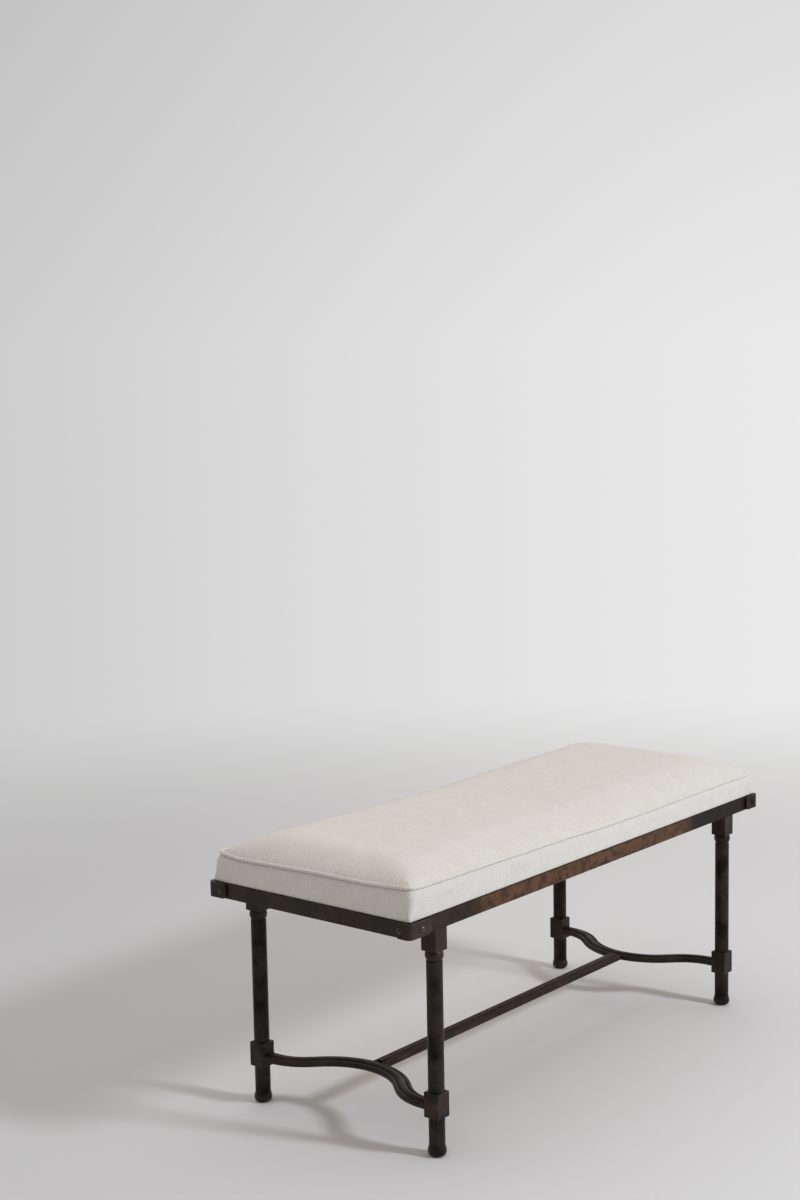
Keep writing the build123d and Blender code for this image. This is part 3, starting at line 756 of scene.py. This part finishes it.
# %% [markdown]
# ## Stuffing it
# The cloth is pressed outwards from inside, as foam does, while it is held at the seam and where
# the frame grips it. The real cover is drawn taut, with no wrinkle on it, so the movement is
# spread over the neighbouring points before it is used, and how far a point may move is capped, so
# that the stuffed cushion keeps the measured crown.

# %% Spread a movement over the grid
SPREAD_ROUNDS = 24


def spread_out(values, held):
    """Evens out a movement: each free point moves half way to its neighbours' mean, many times."""
    pairs = set()
    for corners in shape.faces:
        for a, b in zip(corners, corners[1:] + corners[:1]):
            pairs.add((min(a, b), max(a, b)))
    ends = np.array(sorted(pairs))
    count = np.bincount(ends.ravel(), minlength=len(values))[:, None]
    for _ in range(SPREAD_ROUNDS):
        total = np.zeros_like(values)
        np.add.at(total, ends[:, 0], values[ends[:, 1]])
        np.add.at(total, ends[:, 1], values[ends[:, 0]])
        values = np.where(held[:, None], 0, 0.5 * values + 0.5 * total / count)
    return values


print("a movement is spread in", SPREAD_ROUNDS, "rounds")

# %% Simulate the stuffing
STUFFING_FRAMES = 20
BAND_PUFF = 1.0 * MM
GRIP_MARGIN = 0.1 * MM
CAP_STEEPNESS = 1.6
CLOTH_SETTINGS = {
    "quality": 6,
    "mass": 0.3,
    "tension_stiffness": 25,
    "compression_stiffness": 25,
    "shear_stiffness": 8,
    "bending_stiffness": 1.5,
    "use_pressure": True,
    "uniform_pressure_force": 4.0,
    "vertex_group_mass": "held",
    "pin_stiffness": 1.0,
}


def stuff(piece):
    """Runs the cloth, then moves each vertex as far as its panel allows."""
    kinds = [set() for _ in shape.points]
    for corners, panel in zip(shape.faces, shape.panels):
        for corner in corners:
            kinds[corner].add(panel)
    start = np.array(shape.points)
    on_seam = np.array([kind == {"top", "band"} for kind in kinds])
    held = on_seam | (start[:, 2] < base_level + GRIP_MARGIN)
    group = piece.vertex_groups.new(name="held")
    group.add([int(k) for k in np.flatnonzero(held)], 1.0, "REPLACE")
    cloth = piece.modifiers.new("stuffing", "CLOTH")
    for setting, value in CLOTH_SETTINGS.items():
        setattr(cloth.settings, setting, value)
    cloth.settings.effector_weights.gravity = 0
    cloth.collision_settings.use_self_collision = False
    scene = bpy.context.scene
    scene.frame_start = 1
    scene.frame_end = STUFFING_FRAMES
    for step in range(1, STUFFING_FRAMES + 1):
        scene.frame_set(step)
    evaluated = piece.evaluated_get(bpy.context.evaluated_depsgraph_get())
    moved = np.empty(len(start) * 3)
    evaluated.data.vertices.foreach_get("co", moved)
    piece.modifiers.remove(cloth)
    scene.frame_set(1)
    shift = spread_out(moved.reshape(-1, 3) - start, held)
    length = np.linalg.norm(shift, axis=1)
    cap = np.array([PUFF if "top" in kind else BAND_PUFF for kind in kinds])
    share = cap * np.tanh(CAP_STEEPNESS * length / cap) / np.maximum(length, 1e-9)
    print("stuffing moved up to", round(length.max() / MM, 2), "mm")
    print("kept to", round(cap.max() / MM, 2), "mm")
    piece.data.vertices.foreach_set("co", (start + shift * share[:, None]).ravel())
    piece.data.update()


stuff(cushion)

# %% [markdown]
# ## Smoothing and the seam
# One subdivision rounds the grid. After it, the cloth is drawn in along the seam, where the
# stitches pull the top and the band down beside the welt.

# %% Subdivide and draw in the seam
SEAM_DRAW = 1.8 * MM
SEAM_REACH = 3.2 * MM
DRAW_DOWN = 0.25


def subdivide(piece):
    """Applies one level of subdivision and keeps the object where it is."""
    step = piece.modifiers.new("rounding", "SUBSURF")
    step.levels = 1
    step.render_levels = 1
    evaluated = piece.evaluated_get(bpy.context.evaluated_depsgraph_get())
    smooth = bpy.data.meshes.new_from_object(evaluated)
    piece.modifiers.remove(step)
    piece.data = smooth
    piece.vertex_groups.clear()


def nearest_on_loop(points, loop):
    """For each point, its distance to a closed line of points, and the nearest place on it."""
    best = np.full(len(points), 1e9)
    spot = np.zeros((len(points), 3))
    for a, b in zip(loop, np.roll(loop, -1, axis=0)):
        along = b - a
        share = np.clip(((points - a) @ along) / (along @ along), 0, 1)
        place = a + share[:, None] * along
        distance = np.linalg.norm(points - place, axis=1)
        nearer = distance < best
        best = np.where(nearer, distance, best)
        spot[nearer] = place[nearer]
    return best, spot


def outward_at(x, y, corner):
    """The way out of the cushion in plan at points beside its seam."""
    way_x = x - np.clip(x, -SEAM_X + corner, SEAM_X - corner)
    way_y = y - np.clip(y, -SEAM_Y + corner, SEAM_Y - corner)
    length = np.maximum(np.hypot(way_x, way_y), 1e-9)
    return way_x / length, way_y / length


def draw_in_seam(piece):
    """Pulls the cloth inwards along the seam."""
    points = np.empty(len(piece.data.vertices) * 3)
    piece.data.vertices.foreach_get("co", points)
    points = points.reshape(-1, 3)
    reach = 2 * SEAM_REACH
    beside = (np.abs(points[:, 0]) > SEAM_X - reach) | (np.abs(points[:, 1]) > SEAM_Y - reach)
    near = np.flatnonzero(beside & (points[:, 2] > rim_level.min() - reach))
    distance, spot = nearest_on_loop(points[near], seam_points)
    out_x, out_y = outward_at(spot[:, 0], spot[:, 1], SEAM_CORNER)
    inward = np.stack([-out_x, -out_y, np.full(len(near), -DRAW_DOWN)], -1)
    share = np.clip(1 - distance / SEAM_REACH, 0, 1)
    points[near] += inward * (SEAM_DRAW * share**1.5)[:, None]
    piece.data.vertices.foreach_set("co", points.ravel())
    piece.data.update()


subdivide(cushion)
draw_in_seam(cushion)
print("cushion mesh", len(cushion.data.polygons), "faces")

# %% [markdown]
# ## The welt
# A welt is a cord wrapped in a strip of the same cloth and caught in the seam. Along the ends it
# stands out as a round rib, and along the sides it has sunk into the seam. Geometry Nodes sweep a
# round section along the seam, with the radius, the section's number of sides and the lumps of the
# hand-wrapped cord as named inputs.

# %% Define the welt's node group
WELT_INPUTS = (("Radius", "Float"), ("Sides", "Int"), ("Lump size", "Float"), ("Lumps", "Float"))


def welt_tree(material):
    """A node group that turns a line of points into a closed round cord with slight lumps."""
    tree = bpy.data.node_groups.new("welt", "GeometryNodeTree")
    tree.interface.new_socket("Line", in_out="INPUT", socket_type="NodeSocketGeometry")
    for name, kind in WELT_INPUTS:
        tree.interface.new_socket(name, in_out="INPUT", socket_type="NodeSocket" + kind)
    tree.interface.new_socket("Welt", in_out="OUTPUT", socket_type="NodeSocketGeometry")
    given = add_node(tree, "NodeGroupInput").outputs
    line = add_node(tree, "GeometryNodeMeshToCurve", {"Mesh": given["Line"]})
    section = add_node(tree, "GeometryNodeCurvePrimitiveCircle",
                       {"Resolution": given["Sides"], "Radius": given["Radius"]})
    cord = add_node(tree, "GeometryNodeCurveToMesh", {"Curve": line, "Profile Curve": section})
    per_metre = add_node(tree, "ShaderNodeMath", {0: 1.0, 1: given["Lump size"]},
                         operation="DIVIDE")
    noise = add_node(tree, "ShaderNodeTexNoise", {"Scale": per_metre, "Detail": 1.0})
    centred = add_node(tree, "ShaderNodeMath", {0: noise, 1: 0.5}, operation="SUBTRACT")
    swing = add_node(tree, "ShaderNodeMath", {0: centred, 1: given["Lumps"]},
                     operation="MULTIPLY")
    normal = add_node(tree, "GeometryNodeInputNormal")
    push = add_node(tree, "ShaderNodeVectorMath", {0: normal, "Scale": swing}, operation="SCALE")
    lumpy = add_node(tree, "GeometryNodeSetPosition", {"Geometry": cord, "Offset": push})
    real = add_node(tree, "GeometryNodeRealizeInstances", {"Geometry": lumpy})
    coloured = add_node(tree, "GeometryNodeSetMaterial", {"Geometry": real, "Material": material})
    add_node(tree, "NodeGroupOutput", {"Welt": coloured})
    return tree


print("the welt's inputs are", [name for name, _ in WELT_INPUTS])

# %% Sweep the welt
WELT_RADIUS = 3.5 * MM
WELT_SIDES = 14
WELT_PROUD_END = 1.7 * MM
WELT_PROUD_SIDE = 0.1 * MM
WELT_ABOVE = 1.2 * MM
WELT_VALUES = {
    "Radius": WELT_RADIUS,
    "Sides": WELT_SIDES,
    "Lump size": 22 * MM,
    "Lumps": 1.1 * MM,
}


def set_input(modifier, name, value):
    """Sets a modifier's input by its socket's identifier."""
    for item in modifier.node_group.interface.items_tree:
        if item.item_type == "SOCKET" and item.in_out == "INPUT" and item.name == name:
            modifier[item.identifier] = value


def welt_line():
    """The seam's own points, moved out to where the cord lies."""
    out_x, out_y = outward_at(seam_points[:, 0], seam_points[:, 1], SEAM_CORNER)
    proud = WELT_PROUD_SIDE + (WELT_PROUD_END - WELT_PROUD_SIDE) * out_x**2
    shift = np.stack([out_x * proud, out_y * proud, np.full(len(proud), WELT_ABOVE)], -1)
    return seam_points + shift


def sweep_welt():
    """Sweeps the cord along the seam, and keeps it as a plain mesh."""
    points = welt_line()
    count = len(points)
    line = bpy.data.meshes.new("welt_line")
    line.from_pydata([tuple(p) for p in points], [(k, (k + 1) % count) for k in range(count)], [])
    source = bpy.data.objects.new("welt_source", line)
    bpy.context.scene.collection.objects.link(source)
    sweep = source.modifiers.new("welt", "NODES")
    sweep.node_group = welt_tree(cover_cloth)
    for name, value in WELT_VALUES.items():
        set_input(sweep, name, value)
    evaluated = source.evaluated_get(bpy.context.evaluated_depsgraph_get())
    mesh = bpy.data.meshes.new_from_object(evaluated)
    bpy.data.objects.remove(source)
    mesh.name = "welt"
    made = bpy.data.objects.new("welt", mesh)
    bpy.context.scene.collection.objects.link(made)
    return made


welt = sweep_welt()
print("welt", len(welt.data.polygons), "faces")

# %% [markdown]
# Welting is cut on the bias, a strip slantwise across the weave, so that it bends round corners.
# Its UV map runs along the cord and round it, and is turned by an eighth of a circle to show that.
# Where the loop closes, the last face takes the full length and the full turn instead of zero.

# %% Lay the cloth on the welt
def map_welt(mesh):
    """Gives the cord its UV map along its length and round it, in metres."""
    count = len(seam_points)
    layer = mesh.uv_layers.get("panel") or mesh.uv_layers.new(name="panel")
    bias = math.sqrt(0.5)
    for face in mesh.polygons:
        cells = [divmod(vertex, WELT_SIDES) for vertex in face.vertices]
        stops, turns = zip(*cells)
        last_point = max(stops) == count - 1 and min(stops) == 0
        last_side = max(turns) == WELT_SIDES - 1 and min(turns) == 0
        for loop, (point, side) in zip(face.loop_indices, cells):
            point = count if last_point and point == 0 else point
            side = WELT_SIDES if last_side and side == 0 else side
            along = float(rim_length[point])
            around = side / WELT_SIDES * 2 * math.pi * WELT_RADIUS
            layer.data[loop].uv = ((along - around) * bias, (along + around) * bias)
    mesh.polygons.foreach_set("use_smooth", [True] * len(mesh.polygons))


map_welt(welt.data)
print("welt cloth", round(float(rim_length[-1]), 3), "m long")

# %% [markdown]
# ## Joining the cushion to the bench
# The cushion and its welt ride on the bench's one body, and stand for the plain solids of the
# model.

for piece in (cushion, welt):
    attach(piece, "root")
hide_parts("cushion_cover", "foam_core")
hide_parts("cushion_welt")
print("soft pieces", [piece.name for piece in (cushion, welt)])

# %% [markdown]
# ## The studio
# The bench was photographed on a pale paper sweep, with cool daylight from a low window to the
# right of the camera and warmer, softer light from the room. The floor here is a disc that fades
# into the background beyond the bench, for the camera only, so no horizon shows from any side, and
# it keeps the shadows. The background's own tone, a little brighter to the right, is seen by the
# camera and in reflections and adds no light.

# %% Make the floor
FLOOR_RADIUS = 12.0
FLOOR_RINGS = (1.0, 4.0, FLOOR_RADIUS)
FLOOR_SIDES = 64
FADE_START = 1.5
FADE_END = 4.2
TOWARDS_WINDOW = (0.6, -0.8, 0.0)
PAPER_FROM = -1.35
PAPER_TO = 0.25


def sweep_paper():
    """Matt pale paper, with painted light and shade: lighter towards the window and darker away
    from it. Far off, the camera sees through it.
    """
    material, tree, output = new_material("matt_sweep_paper")
    place = add_node(tree, "ShaderNodeTexCoord").outputs["Object"]
    nearness = add_node(tree, "ShaderNodeVectorMath", {0: place, 1: TOWARDS_WINDOW},
                        operation="DOT_PRODUCT")
    painted_window_light = add_node(
        tree,
        "ShaderNodeMapRange",
        {"Value": nearness, "From Min": PAPER_FROM, "From Max": PAPER_TO},
        interpolation_type="SMOOTHSTEP",
    )
    # Painted light and shade: the paper's colour runs lighter towards the window, darker away from
    # it
    tone = add_node(tree, "ShaderNodeMix",
                    {0: painted_window_light, 6: linear("cacdd2"), 7: linear("d7d9dd")}, data_type="RGBA")
    paper = add_node(tree, "ShaderNodeBsdfPrincipled",
                     {"Base Color": tone, "Roughness": 0.95, "Specular IOR Level": 0.1})
    distance = add_node(tree, "ShaderNodeVectorMath", {0: place}, operation="LENGTH")
    fade = add_node(
        tree,
        "ShaderNodeMapRange",
        {"Value": distance, "From Min": FADE_START, "From Max": FADE_END},
        interpolation_type="SMOOTHSTEP",
    )
    looks = add_node(tree, "ShaderNodeLightPath").outputs["Is Camera Ray"]
    clearness = add_node(tree, "ShaderNodeMath", {0: fade, 1: looks}, operation="MULTIPLY")
    clear = add_node(tree, "ShaderNodeBsdfTransparent")
    mixed = add_node(tree, "ShaderNodeMixShader", {0: clearness, 1: paper, 2: clear})
    tree.links.new(mixed.outputs["Shader"], output.inputs["Surface"])
    return material


def make_floor():
    """A round flat floor under the feet."""
    points = [(0, 0, 0)]
    for radius in FLOOR_RINGS:
        for k in range(FLOOR_SIDES):
            angle = 2 * math.pi * k / FLOOR_SIDES
            points.append((radius * math.cos(angle), radius * math.sin(angle), 0))
    faces = [(0, 1 + k, 1 + (k + 1) % FLOOR_SIDES) for k in range(FLOOR_SIDES)]
    for ring in range(len(FLOOR_RINGS) - 1):
        a, b = 1 + ring * FLOOR_SIDES, 1 + (ring + 1) * FLOOR_SIDES
        for k in range(FLOOR_SIDES):
            after = (k + 1) % FLOOR_SIDES
            faces.append((a + k, b + k, b + after, a + after))
    mesh = bpy.data.meshes.new("studio_floor")
    mesh.from_pydata(points, [], faces)
    mesh.materials.append(sweep_paper())
    made = bpy.data.objects.new("studio_floor", mesh)
    bpy.context.scene.collection.objects.link(made)


make_floor()
print("floor", 2 * FLOOR_RADIUS, "m across")

# %% [markdown]
# One area light stands for the window. Its direction and height were read from the shadows of the
# legs, and it is far off and small for its distance, so those shadows keep fairly clear edges.

# %% Light the window
KEY_FROM = Vector((0.22, -0.975, 0)).normalized()
KEY_HEIGHT = math.radians(31)
KEY_DISTANCE = 6.5
KEY_AIM = Vector((0, 0, 0.4))
KEY_SIZE = 0.9
KEY_POWER = 228.0
KEY_COLOUR = (0.97, 1.0, 1.04)


def make_key_light():
    """The window: a disc of light, off to the right of the camera."""
    data = bpy.data.lights.new("window_light", "AREA")
    data.shape = "DISK"
    data.size = KEY_SIZE
    data.energy = KEY_POWER
    data.color = KEY_COLOUR
    light = bpy.data.objects.new("window_light", data)
    way = KEY_FROM * math.cos(KEY_HEIGHT) + Vector((0, 0, math.sin(KEY_HEIGHT)))
    light.location = KEY_AIM + way * KEY_DISTANCE
    light.rotation_euler = (-way).to_track_quat("-Z", "Y").to_euler()
    bpy.context.scene.collection.objects.link(light)


make_key_light()
print("window", KEY_DISTANCE, "m away,", round(math.degrees(KEY_HEIGHT)), "degrees up")

# %% [markdown]
# The world does two things. To the surfaces it is the light of the room, stronger from above and
# from the side of the lit paper. To the camera and to reflections it is a pale backdrop.

# %% Light the room and paint the backdrop
ROOM_LIGHT = (1.075, 1.0, 0.93)
SIDE_LEVEL = 0.41
ABOVE_LEVEL = 0.35
BRIGHT_SIDE = (0.42, 0.85, 0.0)
BACKDROP_ACROSS = (-0.45, 0.25, 0.53, 0.82)
BACKDROP_UP = (0.0, 0.2, 1.0, 0.86)
BACKDROP_AHEAD = (-1.0, 0.4, 0.62, 1.0)


def make_world():
    """Room light for the surfaces, and a pale backdrop where it is seen or reflected."""
    world = bpy.data.worlds.new("studio")
    world.use_nodes = True
    tree = world.node_tree
    tree.nodes.clear()
    way = add_node(tree, "ShaderNodeTexCoord").outputs["Generated"]
    upwards = add_node(tree, "ShaderNodeSeparateXYZ", {"Vector": way}).outputs["Z"]
    above = add_node(tree, "ShaderNodeMath", {0: upwards, 1: 0.0}, operation="MAXIMUM")
    to_bright = add_node(tree, "ShaderNodeVectorMath", {0: way, 1: BRIGHT_SIDE},
                         operation="DOT_PRODUCT")
    sides = add_node(tree, "ShaderNodeMath", {0: to_bright, 1: SIDE_LEVEL, 2: SIDE_LEVEL},
                     operation="MULTIPLY_ADD")
    level = add_node(tree, "ShaderNodeMath", {0: above, 1: ABOVE_LEVEL, 2: sides},
                     operation="MULTIPLY_ADD")
    room = add_node(tree, "ShaderNodeBackground", {"Color": (*ROOM_LIGHT, 1.0), "Strength": level})

    to_right = add_node(tree, "ShaderNodeVectorMath", {0: way, 1: tuple(level_right)},
                        operation="DOT_PRODUCT")
    ahead = add_node(tree, "ShaderNodeVectorMath", {0: way, 1: tuple(forward)},
                     operation="DOT_PRODUCT")
    parts = (
        (to_right, BACKDROP_ACROSS, "SMOOTHSTEP"),
        (upwards, BACKDROP_UP, "LINEAR"),
        (ahead, BACKDROP_AHEAD, "LINEAR"),
    )
    tone = 1.0
    for value, ends, interpolation in parts:
        part = add_node(tree, "ShaderNodeMapRange",
                        {"Value": value, **dict(zip(RANGE_ENDS, ends))},
                        interpolation_type=interpolation)
        tone = add_node(tree, "ShaderNodeMath", {0: tone, 1: part}, operation="MULTIPLY")
    backdrop = add_node(tree, "ShaderNodeBackground",
                        {"Color": (1.0, 1.0, 1.0, 1.0), "Strength": tone})

    path = add_node(tree, "ShaderNodeLightPath")
    seen = path.outputs["Is Camera Ray"]
    for ray in ("Is Glossy Ray", "Is Transmission Ray"):
        seen = add_node(tree, "ShaderNodeMath", {0: seen, 1: path.outputs[ray]},
                        operation="MAXIMUM")
    mixed = add_node(tree, "ShaderNodeMixShader", {0: seen, 1: room, 2: backdrop})
    add_node(tree, "ShaderNodeOutputWorld", {"Surface": mixed})
    bpy.context.scene.world = world


make_world()
bpy.context.scene.view_settings.view_transform = "Standard"
print("room light", ROOM_LIGHT, "levels", SIDE_LEVEL, "beside and", ABOVE_LEVEL, "above")
